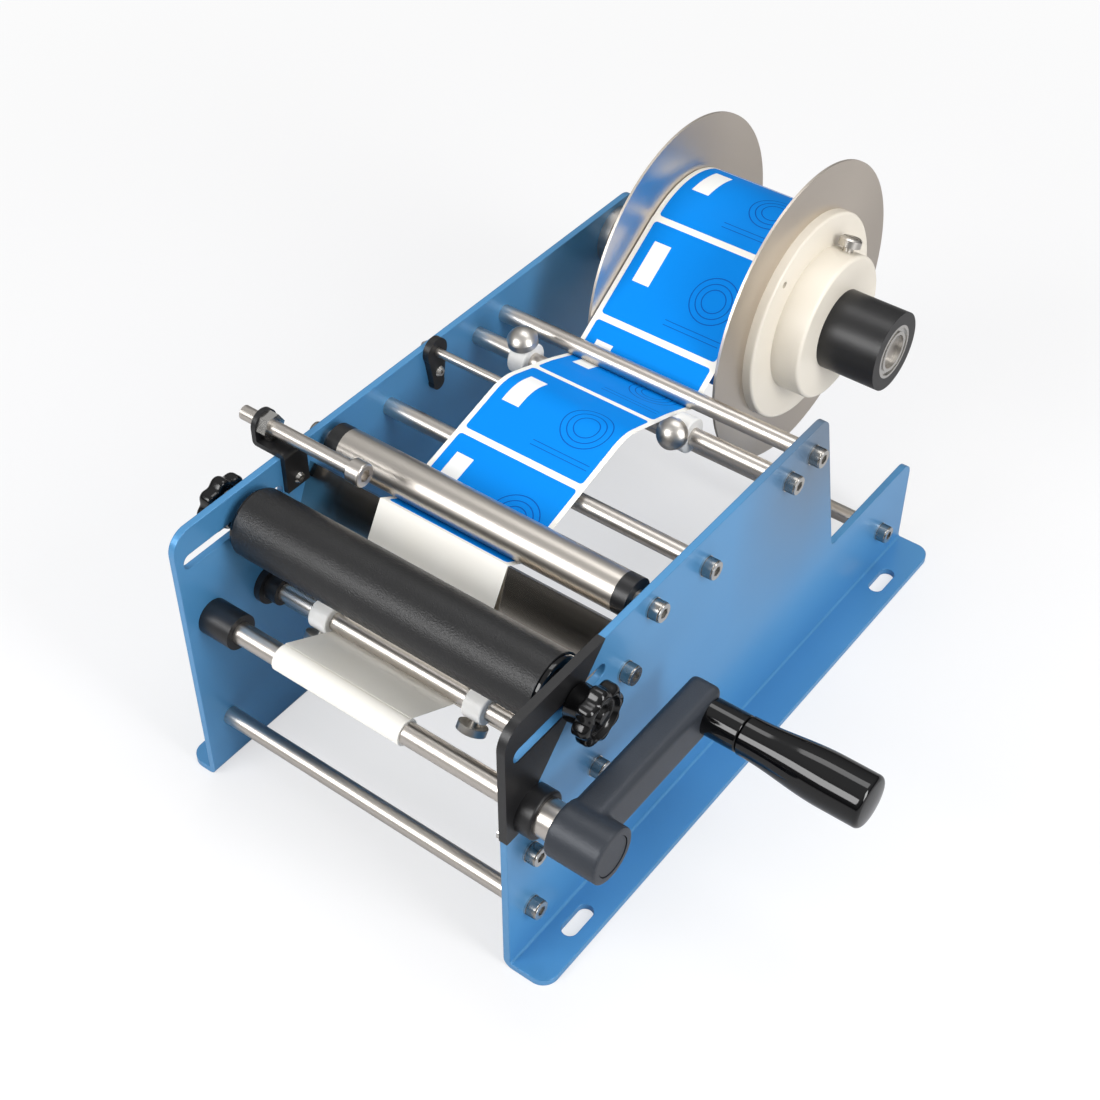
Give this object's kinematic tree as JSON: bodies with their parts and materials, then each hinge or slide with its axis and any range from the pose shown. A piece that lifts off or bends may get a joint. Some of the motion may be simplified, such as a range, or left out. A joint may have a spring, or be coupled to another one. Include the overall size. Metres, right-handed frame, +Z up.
{
  "type": "bench labelling machine",
  "caption": "Hand-cranked bench labelling machine for round bottles: side plates, cross rods, label reel, peel plate, cradle rollers and a crank that winds the liner.",
  "frame": {"origin": "on the bench, at the middle of the right foot's underside", "axes": "+X along the crank shaft towards the crank, +Y towards the reel at the rear, +Z up"},
  "size_m": [0.3615, 0.4583, 0.2455],
  "materials": {
    "blue_paint": "glossy metallic blue paint",
    "steel": "polished and brushed stainless steel",
    "black_metal": "satin black coating",
    "black_gloss": "glossy black moulded plastic",
    "rubber": "matt grained black rubber",
    "cast_grey": "satin dark grey cast metal",
    "cream_plastic": "satin cream plastic",
    "white_plastic": "satin white plastic",
    "label_paper": "coated paper labels on a pale liner",
    "liner_paper": "bare release liner",
    "card": "grey-brown cardboard tube"
  },
  "bodies": {
    "frame": {"right_plate": "blue_paint", "left_plate": "blue_paint", "corner_guard": "black_metal", "front_tie_rod": "steel", "table_rod": "steel", "collar_rod": "steel", "entry_rod": "steel", "rear_tie_rod": "steel", "liner_rod": "steel", "liner_rod_bushes": "black_metal", "thin_guide_rod": "steel", "guide_bracket": "black_metal", "small_screws": "steel", "feed_axle": "steel", "peel_plate": "steel", "cap_screws": "steel", "washers": "steel", "right_bearing": "black_metal", "left_bearing": "black_metal", "reel_spindle": "steel", "spindle_bolt": "steel", "stop_bracket": "black_metal", "stop_nut": "steel", "label_web": "label_paper"},
    "crank": {"crank_shaft": "steel", "shaft_boss": "steel", "crank_arm": "cast_grey", "hub_cap": "cast_grey", "grip_pin": "steel", "grip_collar": "black_gloss", "wound_liner": "liner_paper"},
    "grip": {"grip": "black_gloss"},
    "feed_roller": {"feed_tube": "steel", "feed_caps": "black_metal"},
    "press_carriage": {"press_axle": "steel", "press_washers": "black_metal"},
    "press_roller": {"press_rubber": "rubber", "press_core": "steel", "press_caps": "black_gloss"},
    "right_knob": {"right_knob": "black_gloss"},
    "left_knob": {"left_knob": "black_gloss"},
    "reel": {"mandrel": "black_metal", "inner_disc": "steel", "inner_hub": "cream_plastic", "label_core": "card", "label_roll": "label_paper", "reel_bushes": "steel"},
    "outer_flange": {"outer_disc": "steel", "outer_hub": "cream_plastic"},
    "hub_screw": {"hub_screw": "steel"},
    "stop": {"stop_rod": "steel"},
    "collar_left": {"collar_left": "white_plastic"},
    "collar_right": {"collar_right": "white_plastic"},
    "collar_screw_left": {"collar_screw_left": "steel"},
    "collar_screw_right": {"collar_screw_right": "steel"},
    "liner_collar_left": {"liner_collar_left": "white_plastic"},
    "liner_collar_right": {"liner_collar_right": "white_plastic"},
    "liner_screw_left": {"liner_screw_left": "steel"},
    "liner_screw_right": {"liner_screw_right": "steel"}
  },
  "joints": [
    {"name": "crank_turn", "type": "hinge", "parent": "frame", "child": "crank", "pos_m": [-0.1155, -0.178, 0.1115], "axis": [1, 0, 0], "continuous": true},
    {"name": "grip_turn", "type": "hinge", "parent": "crank", "child": "grip", "pos_m": [0.0645, -0.081, 0.1115], "axis": [1, 0, 0], "continuous": true},
    {"name": "feed_turn", "type": "hinge", "parent": "frame", "child": "feed_roller", "pos_m": [-0.1155, -0.082, 0.165], "axis": [1, 0, 0], "continuous": true},
    {"name": "reel_turn", "type": "hinge", "parent": "frame", "child": "reel", "pos_m": [-0.1155, 0.172, 0.155], "axis": [1, 0, 0], "continuous": true},
    {"name": "press_slide", "type": "slide", "parent": "frame", "child": "press_carriage", "axis": [0, 1, 0], "range_m": [-0.036, 0.012]},
    {"name": "press_turn", "type": "hinge", "parent": "press_carriage", "child": "press_roller", "pos_m": [-0.1155, -0.145, 0.156], "axis": [1, 0, 0], "continuous": true},
    {"name": "right_knob_turn", "type": "hinge", "parent": "press_carriage", "child": "right_knob", "pos_m": [-0.0025, -0.145, 0.156], "axis": [1, 0, 0], "continuous": true},
    {"name": "left_knob_turn", "type": "hinge", "parent": "press_carriage", "child": "left_knob", "pos_m": [-0.2285, -0.145, 0.156], "axis": [1, 0, 0], "continuous": true},
    {"name": "outer_flange_slide", "type": "slide", "parent": "reel", "child": "outer_flange", "axis": [1, 0, 0], "range_m": [0, 0.032]},
    {"name": "hub_screw_turn", "type": "hinge", "parent": "outer_flange", "child": "hub_screw", "pos_m": [-0.0685, 0.172, 0.155], "axis": [0, 0.3907, 0.9205], "continuous": true},
    {"name": "stop_slide", "type": "slide", "parent": "frame", "child": "stop", "axis": [1, 0, 0], "range_m": [-0.025, 0.009]},
    {"name": "collar_left_slide", "type": "slide", "parent": "frame", "child": "collar_left", "axis": [1, 0, 0], "range_m": [-0.02, 0.008]},
    {"name": "collar_right_slide", "type": "slide", "parent": "frame", "child": "collar_right", "axis": [1, 0, 0], "range_m": [-0.001, 0.045]},
    {"name": "liner_collar_left_slide", "type": "slide", "parent": "frame", "child": "liner_collar_left", "axis": [1, 0, 0], "range_m": [-0.02, 0]},
    {"name": "liner_collar_right_slide", "type": "slide", "parent": "frame", "child": "liner_collar_right", "axis": [1, 0, 0], "range_m": [-0.0045, 0.035]},
    {"name": "collar_screw_left_turn", "type": "hinge", "parent": "collar_left", "child": "collar_screw_left", "pos_m": [-0.1815, 0.04, 0.1585], "axis": [0, -0.1736, 0.9848], "continuous": true},
    {"name": "collar_screw_right_turn", "type": "hinge", "parent": "collar_right", "child": "collar_screw_right", "pos_m": [-0.0755, 0.04, 0.1585], "axis": [0, -0.866, 0.5], "continuous": true},
    {"name": "liner_screw_left_turn", "type": "hinge", "parent": "liner_collar_left", "child": "liner_screw_left", "pos_m": [-0.174, -0.138, 0.104], "axis": [0, -0.5736, -0.8192], "continuous": true},
    {"name": "liner_screw_right_turn", "type": "hinge", "parent": "liner_collar_right", "child": "liner_screw_right", "pos_m": [-0.0725, -0.138, 0.104], "axis": [0, -0.5736, -0.8192], "continuous": true}
  ],
  "couplings": [
    {"joint": "feed_turn", "follows": "crank_turn", "ratio": -0.6753},
    {"joint": "reel_turn", "follows": "crank_turn", "ratio": 0.1332}
  ]
}
